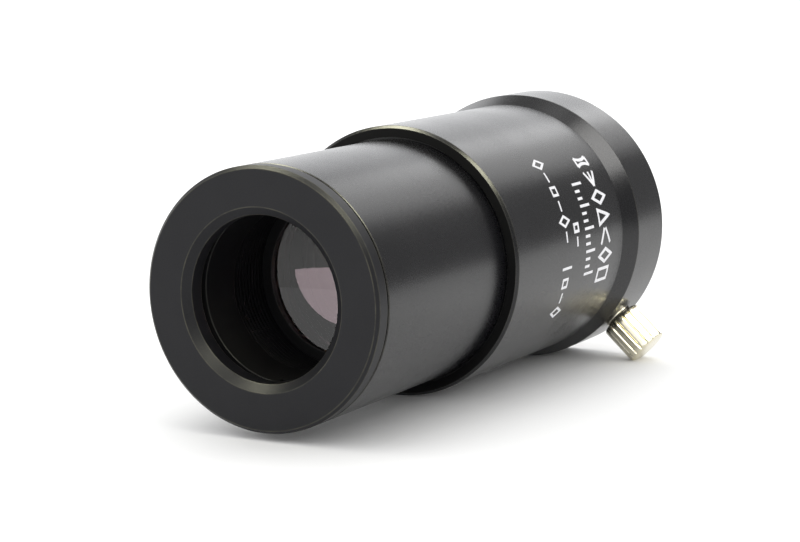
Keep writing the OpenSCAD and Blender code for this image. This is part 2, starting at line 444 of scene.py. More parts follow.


# Grain, then lighter edges (wear, and on the black anodise also a painted highlight), then dust, on one
# metal or plastic
def makeFinish(name, look):
    material, tree, shader = newMaterial(name, look["shader"])
    grain = placeGroup(tree, grainGroup, look["grain"])
    color, roughness = grain.outputs["Color"], grain.outputs["Roughness"]
    if "wornAndLitEdges" in look:
        wornAndLitEdges = placeGroup(tree, edgeWearAndHighlightGroup, look["wornAndLitEdges"])
        tree.links.new(color, wornAndLitEdges.inputs["Color"])
        tree.links.new(roughness, wornAndLitEdges.inputs["Roughness"])
        color, roughness = wornAndLitEdges.outputs["Color"], wornAndLitEdges.outputs["Roughness"]
    if "dust" in look:
        dust = placeGroup(tree, dustGroup, look["dust"])
        tree.links.new(color, dust.inputs["Color"])
        tree.links.new(roughness, dust.inputs["Roughness"])
        color, roughness = dust.outputs["Color"], dust.outputs["Roughness"]
    tree.links.new(color, shader.inputs["Base Color"])
    tree.links.new(roughness, shader.inputs["Roughness"])
    bump = addNode(tree, "ShaderNodeBump", values={
        "Strength": look["bump"], "Distance": look["bumpHeight"] * mm})
    tree.links.new(grain.outputs["Height"], bump.inputs["Height"])
    normal = bump.outputs["Normal"]
    if "toolMarks" in look:
        marks = placeGroup(tree, toolMarksGroup, look["toolMarks"])
        marked = addNode(tree, "ShaderNodeBump", values={
            "Strength": look["markBump"], "Distance": look["markHeight"] * mm})
        tree.links.new(marks.outputs["Height"], marked.inputs["Height"])
        tree.links.new(normal, marked.inputs["Normal"])
        normal = marked.outputs["Normal"]
    tree.links.new(normal, shader.inputs["Normal"])
    return material


blackAnodised = makeFinish("blackAnodised", {
    "shader": {"Metallic": 0.0, "IOR": 1.5, "Specular IOR Level": 0.4},
    "grain": {"Color": (0.003, 0.003, 0.004, 1), "Second Color": (0.006, 0.006, 0.0075, 1),
              "Low Roughness": 0.22, "High Roughness": 0.31, "Grain Size": 6500.0, "Patch Size": 110.0},
    # the warm edge colour is partly wear and partly a painted highlight for the warm-lit chamfers
    "wornAndLitEdges": {"Edge Color": (0.05, 0.048, 0.038, 1), "Worn Roughness": 0.3, "Amount": 0.6},
    "dust": {"Dust Color": (0.5, 0.5, 0.5, 1), "Share": 0.03, "Speck Size": 0.075, "Spacing": 420.0},
    "bump": 0.2,
    "bumpHeight": 0.02,
})

# The flat face of the front ring is blasted coarser and shines less than the tubes
faceAnodised = makeFinish("faceAnodised", {
    "shader": {"Metallic": 0.0, "IOR": 1.5, "Specular IOR Level": 0.17},
    "grain": {"Color": (0.010, 0.010, 0.012, 1), "Second Color": (0.015, 0.015, 0.017, 1),
              "Low Roughness": 0.34, "High Roughness": 0.44, "Grain Size": 5200.0, "Patch Size": 140.0},
    # the warm edge colour, stronger than on the tubes, is partly wear and partly a painted highlight on
    # the chamfers of the hole and the rim
    "wornAndLitEdges": {"Edge Color": (0.07, 0.067, 0.05, 1), "Worn Roughness": 0.32, "Amount": 0.75},
    "dust": {"Dust Color": (0.4, 0.4, 0.4, 1), "Share": 0.015, "Speck Size": 0.06, "Spacing": 420.0},
    "bump": 0.25,
    "bumpHeight": 0.03,
})

# The forward face of the narrow turned shoulder behind the nose: duller than the tubes, and darker,
# which is painted shade on the step
shoulderShadedBlack = makeFinish("shoulderShadedBlack", {
    "shader": {"Metallic": 0.0, "IOR": 1.5, "Specular IOR Level": 0.12},
    "grain": {"Color": (0.0015, 0.0015, 0.002, 1), "Second Color": (0.003, 0.003, 0.0035, 1),
              "Low Roughness": 0.5, "High Roughness": 0.62, "Grain Size": 6000.0, "Patch Size": 200.0},
    "wornAndLitEdges": {"Edge Color": (0.02, 0.02, 0.018, 1), "Worn Roughness": 0.4, "Amount": 0.3},
    "bump": 0.15,
    "bumpHeight": 0.015,
    "toolMarks": {"Marks per Metre": 5200.0, "Wander": 0.3},
    "markBump": 0.5,
    "markHeight": 0.008,
})

innerBlack = makeFinish("innerBlack", {
    "shader": {"Metallic": 0.0, "IOR": 1.5, "Specular IOR Level": 0.25},
    "grain": {"Color": (0.004, 0.004, 0.005, 1), "Second Color": (0.007, 0.007, 0.008, 1),
              "Low Roughness": 0.4, "High Roughness": 0.55, "Grain Size": 6000.0, "Patch Size": 200.0},
    "wornAndLitEdges": {"Edge Color": (0.05, 0.05, 0.045, 1), "Worn Roughness": 0.35, "Amount": 0.5},
    "bump": 0.2,
    "bumpHeight": 0.02,
    "toolMarks": {"Marks per Metre": 5200.0, "Wander": 0.4},
    "markBump": 0.5,
    "markHeight": 0.01,
})

turnedBrass = makeFinish("turnedBrass", {
    "shader": {"Metallic": 1.0},
    "grain": {"Color": (0.58, 0.40, 0.16, 1), "Second Color": (0.72, 0.53, 0.24, 1),
              "Low Roughness": 0.2, "High Roughness": 0.36, "Grain Size": 5000.0, "Patch Size": 240.0},
    "wornAndLitEdges": {"Edge Color": (0.85, 0.68, 0.36, 1), "Worn Roughness": 0.16, "Amount": 0.8},
    "bump": 0.1,
    "bumpHeight": 0.01,
    "toolMarks": {"Marks per Metre": 4200.0, "Wander": 0.3},
    "markBump": 0.5,
    "markHeight": 0.012,
})

platedScrew = makeFinish("platedScrew", {
    "shader": {"Metallic": 1.0},
    "grain": {"Color": (0.66, 0.62, 0.50, 1), "Second Color": (0.80, 0.76, 0.64, 1),
              "Low Roughness": 0.16, "High Roughness": 0.3, "Grain Size": 4200.0, "Patch Size": 500.0},
    "wornAndLitEdges": {"Edge Color": (0.84, 0.79, 0.55, 1), "Worn Roughness": 0.14, "Amount": 0.6},
    "bump": 0.12,
    "bumpHeight": 0.01,
})

tipPlastic = makeFinish("tipPlastic", {
    "shader": {"Metallic": 0.0, "IOR": 1.5, "Specular IOR Level": 0.4},
    "grain": {"Color": (0.80, 0.78, 0.70, 1), "Second Color": (0.88, 0.86, 0.79, 1),
              "Low Roughness": 0.5, "High Roughness": 0.65, "Grain Size": 3000.0, "Patch Size": 600.0},
    "bump": 0.15,
    "bumpHeight": 0.01,
})

printInk = makeFinish("printInk", {
    "shader": {"Metallic": 0.0, "IOR": 1.45, "Specular IOR Level": 0.3},
    "grain": {"Color": (0.62, 0.62, 0.64, 1), "Second Color": (0.86, 0.86, 0.88, 1),
              "Low Roughness": 0.5, "High Roughness": 0.7, "Grain Size": 5200.0, "Patch Size": 900.0},
    "bump": 0.2,
    "bumpHeight": 0.01,
})


# Glass with a few specks of dust on it. Its colour is a pink tint, painted reflection standing in for
# the coating's pinkish reflection.
def makeGlass(name, look):
    material, tree, shader = newMaterial(name, look["shader"])
    dust = placeGroup(tree, dustGroup, look["dust"])
    tree.links.new(dust.outputs["Color"], shader.inputs["Base Color"])
    tree.links.new(dust.outputs["Roughness"], shader.inputs["Roughness"])
    return material


crownGlass = makeGlass("crownGlass", {
    "shader": {"Metallic": 0.0, "Transmission Weight": 1.0, "IOR": 1.52},
    # the pink tint is painted reflection of the coating
    "dust": {"Color": (0.86, 0.74, 0.77, 1), "Roughness": 0.0, "Dust Color": (0.6, 0.6, 0.6, 1),
             "Share": 0.012, "Speck Size": 0.05, "Spacing": 520.0},
})

# Set inside the crown's outline, so its index is that of the flint over that of the crown
flintGlass = makeGlass("flintGlass", {
    "shader": {"Metallic": 0.0, "Transmission Weight": 1.0, "IOR": 1.066},
    # the pink tint is painted reflection of the coating
    "dust": {"Color": (0.9, 0.8, 0.82, 1), "Roughness": 0.0, "Dust Color": (0.6, 0.6, 0.6, 1),
             "Share": 0.008, "Speck Size": 0.04, "Spacing": 480.0},
})
print("finishes made")


frontRing = {
    "holeRadius": 10.0,
    "holeChamfer": 0.85,
    "holeChamferWidth": 1.0,
    "outerChamfer": 0.4,
    "flangeLength": 2.5,    # with the seam
    "seam": 0.35,
    "web": 2.9,             # thickness of the front wall
    "spigotRadius": 14.2,
    "neckHoleRadius": 12.9,
    "threadPitch": 0.6,
    "threadDepth": 0.32,
    "threadMargin": 0.3,
    "edge": 0.08,
    "innerEdge": 0.06,
}


# A flange with a seam behind it, a thread that holds it in the nose, and a hole with a wide chamfer
def makeFrontRing():
    size = turnedSize("front_ring")
    front, back, radius = size["front"], size["back"], size["radius"]
    look = frontRing
    flangeEnd = front + look["flangeLength"]
    seamFront = flangeEnd - look["seam"]
    corners = [
        (look["holeRadius"], front + look["holeChamfer"], look["edge"]),
        (look["holeRadius"] + look["holeChamferWidth"], front, look["edge"]),
        (radius - look["outerChamfer"], front, look["edge"]),
        (radius, front + look["outerChamfer"], look["edge"]),
        (radius, seamFront, look["edge"]),
        (radius - look["seam"], seamFront, 0),
        (radius - look["seam"], flangeEnd, 0),
        (look["spigotRadius"], flangeEnd, 0),
    ]
    corners += threadPoints(look["spigotRadius"], flangeEnd + look["threadMargin"],
                            back - look["threadMargin"], look["threadPitch"], -look["threadDepth"])
    corners += [
        (look["spigotRadius"], back, look["innerEdge"]),
        (look["neckHoleRadius"], back, look["innerEdge"]),
        (look["neckHoleRadius"], front + look["web"], 0),
        (look["holeRadius"], front + look["web"], look["innerEdge"]),
    ]
    piece = turnPiece("frontRing", roundedOutline(corners), pitch=look["threadPitch"])
    smoothPiece(piece)
    return finishPiece(piece, [faceAnodised], "cell", "black_anodised", "front_ring")


noseBarrel = {
    "threadRadius": 14.25,
    "threadLength": 5.23,
    "threadPitch": 0.6,
    "threadDepth": 0.3,
    "threadMargin": 0.3,
    "boreRadius": 13.9,
    "frontChamfer": 0.1,
    "mouthEdge": 0.05,
    "edge": 0.04,
    "rearEdge": 0.1,
    "rootRadius": 15.6,     # the relieved end in the shoulder's recess
    "rootDepth": 0.3,
    "spigotRadius": 14.9,
}


# The narrower tube, threaded inside its mouth, with a spigot that is held in the body
def makeNoseBarrel():
    size = turnedSize("nose_barrel")
    front, back, radius = size["front"], size["back"], size["radius"]
    look = noseBarrel
    threadEnd = front + look["threadLength"]
    corners = [
        (look["threadRadius"], front, look["mouthEdge"]),
        (radius - look["frontChamfer"], front, look["edge"]),
        (radius, front + look["frontChamfer"], look["edge"]),
        (radius, 0.0, look["edge"]),
        (look["rootRadius"], 0.0, 0),
        (look["rootRadius"], look["rootDepth"], 0),
        (look["spigotRadius"], look["rootDepth"], 0),
        (look["spigotRadius"], back, look["rearEdge"]),
        (look["boreRadius"], back, look["rearEdge"]),
        (look["boreRadius"], threadEnd, 0),
        (look["threadRadius"], threadEnd, 0),
    ]
    corners += threadPoints(look["threadRadius"], threadEnd - look["threadMargin"],
                            front + look["threadMargin"], look["threadPitch"], look["threadDepth"])
    piece = turnPiece("noseBarrel", roundedOutline(corners), pitch=look["threadPitch"])
    smoothPiece(piece)
    return finishPiece(piece, [blackAnodised], "barrel", "black_anodised", "nose_barrel")


tubeAndCollar = {
    "tubeRadius": 17.59,
    "tubeEnd": 33.2,
    "collarStart": 36.2,
    "chamfer": 0.35,
    "edge": 0.06,
    "innerEdge": 0.05,
    "stopEdge": 0.12,
    "pocketEdge": 0.08,
    "flareBlend": 0.25,     # the flare meets the tube and the collar in small curves
    "socketRadius": 15.9,
    "socketChamfer": 0.6,
    "socketStart": 16.2,
    "stopRadius": 13.5,
    "nosePocketEnd": 8.2,
    "nosePocketRadius": 14.95,
    "rootRecessRadius": 16.1,
    "rootRecessDepth": 0.3,
    "grooveRadius": 17.0,
    "grooveStart": 38.1,
    "grooveEnd": 43.3,
    "screwHoleRadius": 2.05,
    "shoulderDepth": 0.1,   # faces that look forward within this are the shoulder's
}
cutterExtra = 1.0  # how far a cutter stands out of what it cuts


# Tube, flare and collar in one, with the nose's pocket, the eyepiece socket and the ring's groove
def makeBody():
    size = turnedSize("body")
    front, back, radius = size["front"], size["back"], size["radius"]
    look = tubeAndCollar
    corners = [
        (look["rootRecessRadius"], front, look["innerEdge"]),
        (look["tubeRadius"] - look["chamfer"], front, look["edge"]),
        (look["tubeRadius"], front + look["chamfer"], look["edge"]),
        (look["tubeRadius"], look["tubeEnd"], look["flareBlend"]),
        (radius, look["collarStart"], look["flareBlend"]),
        (radius, back - look["chamfer"], look["edge"]),
        (radius - look["chamfer"], back, look["edge"]),
        (look["socketRadius"] + look["socketChamfer"], back, look["edge"]),
        (look["socketRadius"], back - look["socketChamfer"], look["edge"]),
        (look["socketRadius"], look["grooveEnd"], look["innerEdge"]),
        (look["grooveRadius"], look["grooveEnd"], 0),
        (look["grooveRadius"], look["grooveStart"], 0),
        (look["socketRadius"], look["grooveStart"], look["innerEdge"]),
        (look["socketRadius"], look["socketStart"], 0),
        (look["stopRadius"], look["socketStart"], look["stopEdge"]),
        (look["stopRadius"], look["nosePocketEnd"], look["pocketEdge"]),
        (look["nosePocketRadius"], look["nosePocketEnd"], 0),
        (look["nosePocketRadius"], front + look["rootRecessDepth"], 0),
        (look["rootRecessRadius"], front + look["rootRecessDepth"], 0),
    ]
    piece = turnPiece("tubeAndCollar", roundedOutline(corners))
    holeStart, holeEnd = look["socketRadius"], radius + cutterExtra
    hole = turnPiece("screwHole", [
        (0, holeStart, 0, 0),
        (0, holeEnd, 0, 0),
        (look["screwHoleRadius"], holeEnd, 0, 0),
        (look["screwHoleRadius"], holeStart, 0, 0),
    ], steps=64)
    ontoScrewAxis(hole)
    cutAway(piece, hole)
    smoothPiece(piece)
    finishPiece(piece, [blackAnodised, shoulderShadedBlack], "barrel", "black_anodised", "body")
    for polygon in piece.data.polygons:
        # forward faces of the shoulder take the darker copy of the anodise: painted shade
        looksForward = polygon.normal.y < -0.9
        if looksForward and polygon.center.y < (front + look["shoulderDepth"]) * mm:
            polygon.material_index = 1
    return piece


lensCell = {
    "boreRadius": 12.1,
    "neckRadius": 12.85,
    "neckLength": 2.0,
    "lipLength": 1.2,
    "lipRadius": 10.6,
    "neckEdge": 0.06,
    "frontEdge": 0.08,
    "rearEdge": 0.15,
    "seatEdge": 0.05,
}


# The tube that the glass sits in, against a lip at the back
def makeLensCell():
    size = turnedSize("lens_cell")
    front, back, radius = size["front"], size["back"], size["radius"]
    look = lensCell
    neckEnd = front + look["neckLength"]
    corners = [
        (look["boreRadius"], front, look["neckEdge"]),
        (look["neckRadius"], front, look["neckEdge"]),
        (look["neckRadius"], neckEnd, 0),
        (radius, neckEnd, look["frontEdge"]),
        (radius, back, look["rearEdge"]),
        (look["lipRadius"], back, look["rearEdge"]),
        (look["lipRadius"], back - look["lipLength"], look["seatEdge"]),
        (look["boreRadius"], back - look["lipLength"], 0),
    ]
    piece = turnPiece("lensCell", roundedOutline(corners))
    smoothPiece(piece)
    return finishPiece(piece, [innerBlack], "cell", "black_anodised", "lens_cell")


lockRing = {
    "mouthRadius": 10.55,
    "throatRadius": 10.0,
    "notchWidth": 1.4,
    "notchDepth": 1.2,
    "mouthEdge": 0.08,
    "edge": 0.05,
}


# Tapers inwards from its mouth. One bar cuts both spanner notches.
def makeLockRing():
    size = turnedSize("lock_ring")
    front, back, radius = size["front"], size["back"], size["radius"]
    look = lockRing
    corners = [
        (look["mouthRadius"], front, look["mouthEdge"]),
        (radius, front, look["edge"]),
        (radius, back, look["edge"]),
        (look["throatRadius"], back, look["edge"]),
    ]
    piece = turnPiece("lockRing", roundedOutline(corners))
    bar = bpy.data.meshes.new("spannerNotches")
    work = bmesh.new()
    bmesh.ops.create_cube(work, size=1.0)
    depth = look["notchDepth"] + cutterExtra
    barSize = Vector((look["notchWidth"], depth, 3 * radius)) * mm
    bmesh.ops.scale(work, vec=barSize, verts=work.verts)
    bmesh.ops.translate(work, vec=(0, (front - cutterExtra + depth / 2) * mm, 0), verts=work.verts)
    work.to_mesh(bar)
    work.free()
    cutAway(piece, addObject("spannerNotches", bar))
    smoothPiece(piece)
    return finishPiece(piece, [innerBlack], "cell", "black_matte", "lock_ring")


spacerTube = {
    "boreRadius": 11.0,
    "lipLength": 0.8,
    "apertureRadius": 9.65,
    "ridgePitch": 0.7,      # anti-glare ridges turned into the bore
    "ridgeDepth": 0.16,
    "ridgeMargin": 0.2,
    "edge": 0.05,
    "lipEdge": 0.06,
}


# Holds the glass against the lip of the cell, and its own lip is the rim round the glass
def makeSpacerTube():
    size = turnedSize("spacer_tube")
    front, back, radius = size["front"], size["back"], size["radius"]
    look = spacerTube
    lipFront = back - look["lipLength"]
    corners = [
        (radius, front, look["edge"]),
        (radius, back, look["edge"]),
        (look["apertureRadius"], back, look["lipEdge"]),
        (look["apertureRadius"], lipFront, look["lipEdge"]),
        (look["boreRadius"], lipFront, 0),
    ]
    corners += threadPoints(look["boreRadius"], lipFront - look["ridgeMargin"],
                            front + look["ridgeMargin"], look["ridgePitch"], look["ridgeDepth"])
    corners.append((look["boreRadius"], front, look["edge"]))
    piece = turnPiece("spacerTube", roundedOutline(corners), pitch=look["ridgePitch"])
    smoothPiece(piece)
    return finishPiece(piece, [innerBlack], "cell", "black_matte", "spacer_tube")


lensPair = {
    "edgeRadius": 12.0,
    "frontCurve": 25.0,     # hollow towards the front
    "cementCurve": 40.0,    # bulges towards the front
    "rearCurve": 37.0,      # hollow towards the back
    "flintInset": 0.015,    # how far the flint lies inside the crown's outline
    "paintDepth": 0.02,     # faces this close to the rim are the ground edge
    "rings": 40,
    "steps": 192,
}


# How far a spherical surface has curved away at a radius
def dip(curve, radius):
    return curve - math.sqrt(curve * curve - radius * radius)


# Points of a spherical surface from the axis to the rim. towards is 1 where its middle lies behind
# the rim, and -1 where it lies in front.
def spherePoints(curve, rimRadius, rimY, towards, rings):
    points = []
    for ring in range(rings + 1):
        radius = rimRadius * ring / rings
        lift = dip(curve, rimRadius) - dip(curve, radius)
        points.append((radius, rimY + towards * lift, 0.0, 0.0))
    return points


# The crown's outline holds both glasses, with the flint set into it by a hair's breadth
def makeLensPair():
    look = lensPair
    crown, flint = turnedSize("lens_front"), turnedSize("lens_rear")
    rim, rings = look["edgeRadius"], look["rings"]
    front = spherePoints(look["frontCurve"], rim, crown["front"], 1, rings)
    rear = spherePoints(look["rearCurve"], rim, flint["back"], -1, rings)
    outer = turnPiece("crownLens", front + rear[::-1], steps=look["steps"])
    inset = look["flintInset"]
    inner = rim - inset
    # the flint's middle is its lowest point in the box, and its rim lies a dip behind that
    cementRim = flint["front"] + dip(look["cementCurve"], rim)
    cement = spherePoints(look["cementCurve"], inner, cementRim, -1, rings)
    hollow = spherePoints(look["rearCurve"], inner, flint["back"] - inset, -1, rings)
    core = turnPiece("flintLens", cement + hollow[::-1], steps=look["steps"])
    for piece, glass in ((outer, crownGlass), (core, flintGlass)):
        smoothPiece(piece, sharpAngle=40, weighted=False)
        piece.data.materials.append(glass)
    outer.data.materials.append(innerBlack)  # the ground edge is painted black
    for polygon in outer.data.polygons:
        middle = polygon.center
        if math.hypot(middle.x, middle.z) > (rim - look["paintDepth"]) * mm:
            polygon.material_index = 1
    finishPiece(outer, [], "cell_glass", "coated_glass", "lens_front")
    finishPiece(core, [], "cell_glass", "coated_glass", "lens_rear")
    return outer, core


compressionRing = {
    "innerRadius": 15.95,
    "split": 2.5,
    "edge": 0.1,
    "steps": 240,
}


# Split on the side away from the screw
def makeCompressionRing():
    size = turnedSize("compression_ring")
    front, back, radius = size["front"], size["back"], size["radius"]
    look = compressionRing
    corners = [
        (look["innerRadius"], front, look["edge"]),
        (radius, front, look["edge"]),
        (radius, back, look["edge"]),
        (look["innerRadius"], back, look["edge"]),
    ]
    axis = Vector(findJoint("thumbscrew_turn")["axis"])
    opposite = math.atan2(-axis.z, -axis.x)
    halfGap = look["split"] / (look["innerRadius"] + radius)
    piece = turnPiece("compressionRing", roundedOutline(corners), steps=look["steps"],
                      arc=(opposite + halfGap, 2 * math.pi - 2 * halfGap))
    smoothPiece(piece)
    return finishPiece(piece, [turnedBrass], "barrel", "bare_brass", "compression_ring")


thumbscrew = {
    "shankStart": 17.27,    # distances along the screw from the optical axis
    "headStart": 19.15,
    "headEnd": 25.15,
    "shankRadius": 2.0,
    "threadPitch": 0.7,
    "threadDepth": 0.36,
    "taper": 0.3,           # at the inner end of the shank
    "taperLength": 0.25,
    "undercut": 0.1,
    "valleyRadius": 2.65,
    "ridgeHeight": 0.3,
    "ridges": 16,
    "ridgeFullness": 1.6,   # more gives broader flats on the ridges
    "ridgeRoundness": 0.7,  # less gives steeper sides
    "rimLength": 0.9,
    "rimExtra": 0.12,
    "endRound": 0.28,
    "tipHoleRadius": 0.75,
    "tipHoleDepth": 1.1,
    "steps": 384,
}


def makeThumbscrew():
    look = thumbscrew
    start, head, end = look["shankStart"], look["headStart"], look["headEnd"]
    valley, height = look["valleyRadius"], look["ridgeHeight"]
    shank = [
        (0, start + look["tipHoleDepth"], 0, 0),
        (look["tipHoleRadius"], start + look["tipHoleDepth"], 0, 0),
        (look["tipHoleRadius"], start, 0, 0),
        (look["shankRadius"] - look["taper"], start, 0, 0),
        (look["shankRadius"], start + look["taperLength"], 0, 0),
    ]
    shank += threadPoints(look["shankRadius"], start + look["taperLength"],
                          head - look["undercut"], look["threadPitch"], -look["threadDepth"])
    shank.append((look["shankRadius"], head, 0, 0))
    # Rings of the head: radius, place, wear and the ridges' share of their height, which is none on
    # the end faces and all along the sides
    rim = end - look["rimLength"]
    rimRadius, rimShare = valley + look["rimExtra"], 1 - look["rimExtra"] / height
    headRings = [
        (valley - 0.45, head, 0, 0.0),
        (valley - 0.15, head + 0.03, 0.4, 0.15),
        (valley - 0.04, head + 0.12, 0.8, 0.6),
        (valley, head + look["endRound"], 0.4, 1.0),
        (valley, head + 1.2, 0.0, 1.0),
        (valley, rim - 0.4, 0.0, 1.0),
        (valley, rim - 0.12, 0.1, 1.0),
        (rimRadius, rim + 0.12, 0.5, rimShare),
        (rimRadius, end - 0.34, 0.3, rimShare),
        (rimRadius - 0.03, end - 0.2, 0.8, 0.45),
        (valley - 0.06, end - 0.1, 0.8, 0.2),
        (valley - 0.35, end - 0.04, 0.3, 0.0),
        (valley - 1.2, end - 0.01, 0.0, 0.0),
        (0, end, 0, 0),
    ]
    outline = shank + [(radius, y, edgeMask, 0.0) for radius, y, edgeMask, share in headRings]
    shares = [0.0] * len(shank) + [ring[3] for ring in headRings]

    # broad rounded ridges with narrow valleys between them
    def ridgeAt(angle, ring):
        wave = abs(math.cos(angle * look["ridges"] / 2))
        ridge = min(1.0, wave * look["ridgeFullness"]) ** look["ridgeRoundness"]
        return height * shares[ring] * ridge

    piece = turnPiece("thumbscrewHead", outline, steps=look["steps"], pitch=look["threadPitch"],
                      ridges=ridgeAt)
    ontoScrewAxis(piece)
    smoothPiece(piece, sharpAngle=50, weighted=False)
    return finishPiece(piece, [platedScrew], "thumbscrew", "plated_screw", "thumbscrew")


screwTip = {
    "start": 16.9,
    "padThickness": 0.35,
    "padRadius": 1.3,
    "padEdge": 0.1,
    "padRearEdge": 0.06,
    "stemRadius": 0.7,
    "stemLength": 1.0,
    "stemEdge": 0.08,
    "steps": 64,
}


# A pad that presses on the ring, with a stem in the end of the screw
def makeScrewTip():
    look = screwTip
    padEnd = look["start"] + look["padThickness"]
    stemEnd = padEnd + look["stemLength"]
    corners = [
        (0, look["start"], 0),
        (look["padRadius"], look["start"], look["padEdge"]),
        (look["padRadius"], padEnd, look["padRearEdge"]),
        (look["stemRadius"], padEnd, 0),
        (look["stemRadius"], stemEnd, look["stemEdge"]),
        (0, stemEnd, 0),
    ]
    piece = turnPiece("screwTip", roundedOutline(corners), steps=look["steps"])
    ontoScrewAxis(piece)
    smoothPiece(piece)
    return finishPiece(piece, [tipPlastic], "screw_point", "tip_plastic", "screw_tip")


# The print is four rows of plain marks: no letters and no digits.
# A mark is a list of lines in its own cell, where across and up go from 0 to 1.
def arcLine(across, up, radius, fromDegrees, toDegrees, count=14):
    points = []
    for step in range(count + 1):
        angle = math.radians(fromDegrees + (toDegrees - fromDegrees) * step / count)
        points.append((across + radius * math.cos(angle), up + radius * math.sin(angle)))
    return points


def diamondMark():
    return [[(0.5, 0.02), (0.88, 0.5), (0.5, 0.98), (0.12, 0.5), (0.5, 0.02)]]


def hollowLensMark():
    left = arcLine(-0.25, 0.5, 0.62, -42, 42)
    right = arcLine(1.25, 0.5, 0.62, 222, 138)
    return [left, right, [left[0], right[0]], [left[-1], right[-1]]]


def triangleMark():
    return [[(0.08, 0.12), (0.92, 0.12), (0.5, 0.92), (0.08, 0.12)]]


def raysMark():
    return [[(0.05, 0.85), (0.95, 0.5)], [(0.05, 0.5), (0.95, 0.5)], [(0.05, 0.15), (0.95, 0.5)]]


def spreadMark():
    return [[(0.95, 0.85), (0.05, 0.55)], [(0.95, 0.15), (0.05, 0.45)]]


def boxMark():
    return [[(0.15, 0.1), (0.85, 0.1), (0.85, 0.9), (0.15, 0.9), (0.15, 0.1)]]


def longTick():
    return [[(0.5, 0.0), (0.5, 1.0)]]


def shortTick():
    return [[(0.5, 0.0), (0.5, 0.5)]]


def dashMark():
    return [[(0.1, 0.5), (0.9, 0.5)]]


def smallBoxMark():
    return [[(0.2, 0.25), (0.8, 0.25), (0.8, 0.75), (0.2, 0.75), (0.2, 0.25)]]


def gap():
    return []


printRows = {
    "opticsRow": {
        "bottom": 25.3, "height": 4.1, "fromDegrees": 42, "toDegrees": -19, "stroke": 0.46,
        "marks": [hollowLensMark, raysMark, diamondMark, triangleMark, spreadMark, diamondMark,
                  boxMark],
    },
    "scaleRow": {
        "bottom": 20.9, "height": 2.9, "fromDegrees": 30, "toDegrees": -13.5, "stroke": 0.38,
        "marks": [longTick, shortTick, shortTick, longTick, shortTick, shortTick, longTick,
                  shortTick, shortTick, longTick, shortTick, shortTick, longTick],
    },
    "powerRow": {
        "bottom": 17.0, "height": 2.5, "fromDegrees": 13, "toDegrees": 1, "stroke": 0.4,
        "marks": [smallBoxMark, dashMark],
    },
    "dashRow": {
        "bottom": 13.6, "height": 2.9, "fromDegrees": 44.5, "toDegrees": -30, "stroke": 0.36,
        "marks": [diamondMark, dashMark, smallBoxMark, dashMark, diamondMark, dashMark, gap,
                  longTick, smallBoxMark, dashMark, diamondMark],
    },
}
printing = {
    "height": 0.02,
    "sunk": 0.01,           # the ink starts this far inside the tube, so nothing shows under it
    "longestStep": 0.3,     # longer lines are divided, to follow the tube
    "cellMargin": 0.06,
    "sharpestMitre": 0.5,
}


# Cuts a line into pieces short enough to follow the tube, at the same points on every run
def finerLine(line, longest):
    points = [line[0]]
    for before, after in zip(line, line[1:]):
        count = max(1, math.ceil(math.dist(before, after) / longest))
        for step in range(1, count + 1):
            share = step / count
            points.append((before[0] + (after[0] - before[0]) * share,
                           before[1] + (after[1] - before[1]) * share))
    return points


# The two sides of a stroke along a line, and whether the line closes on itself
def strokeSides(line, width):
    closed = math.dist(line[0], line[-1]) < tiny
    points = line[:-1] if closed else line
    count = len(points)
    sides = []
    for i, (u, v) in enumerate(points):
        before = points[i - 1] if closed or i > 0 else points[i]
        after = points[(i + 1) % count] if closed or i < count - 1 else points[i]
        into = Vector((u - before[0], v - before[1]))
        away = Vector((after[0] - u, after[1] - v))
        into = into.normalized() if into.length > tiny else away.normalized()
        away = away.normalized() if away.length > tiny else into
        middle = (into + away).normalized()
        across = Vector((-middle.y, middle.x))
        spread = width / 2 / max(printing["sharpestMitre"], middle.dot(into))
        sides.append(((u + across.x * spread, v + across.y * spread),
                      (u - across.x * spread, v - across.y * spread)))
    return sides, closed


# Strokes with a little height, laid round the tube
def makePrintRow(name, row):
    radius = tubeAndCollar["tubeRadius"]
    bottom, top = radius - printing["sunk"], radius + printing["height"]
    margin = printing["cellMargin"]
    length = math.radians(row["fromDegrees"] - row["toDegrees"]) * radius
    cell = length / len(row["marks"])
    vertices, faces = [], []
    for place, mark in enumerate(row["marks"]):
        for line in mark():
            drawn = [((place + margin + across * (1 - 2 * margin)) * cell, up * row["height"])
                     for across, up in line]
            sides, closed = strokeSides(finerLine(drawn, printing["longestStep"]), row["stroke"])
            base = len(vertices)
            for pair in sides:
                for u, v in pair:
                    angle = math.radians(row["fromDegrees"]) - u / radius
                    for r in (bottom, top):
                        vertices.append((r * math.cos(angle) * mm, (row["bottom"] + v) * mm,
                                         r * math.sin(angle) * mm))
            count = len(sides)
            for i in range(count if closed else count - 1):
                a, b = base + 4 * i, base + 4 * ((i + 1) % count)
                faces += [(a + 1, b + 1, b + 3, a + 3), (a, a + 2, b + 2, b),
                          (a, b, b + 1, a + 1), (a + 2, a + 3, b + 3, b + 2)]
            if not closed:
                last = base + 4 * (count - 1)
                faces += [(base, base + 1, base + 3, base + 2),
                          (last, last + 2, last + 3, last + 1)]
    mesh = bpy.data.meshes.new(name)
    mesh.from_pydata(vertices, [], faces)
    faceOutwards(mesh)
    return finishPiece(addObject(name, mesh), [printInk], "barrel", None)


makeBody()
makeNoseBarrel()
makeFrontRing()
print("tubes made")
makeLensCell()
makeLockRing()
makeSpacerTube()
glassPieces = makeLensPair()
print("cell and lens made")
makeCompressionRing()
makeScrewTip()
screwPiece = makeThumbscrew()
print("clamp made")
for rowName, rowValues in printRows.items():
    makePrintRow(rowName, rowValues)
print("print made")


studioFloor = {
    "size": 1.2,
    "tilt": 1.53,           # degrees about X, since the collar is wider than the tube
    "belowAxis": 17.60,
    "color": (0.92, 0.92, 0.915, 1),
    "secondColor": (0.93, 0.93, 0.925, 1),
}


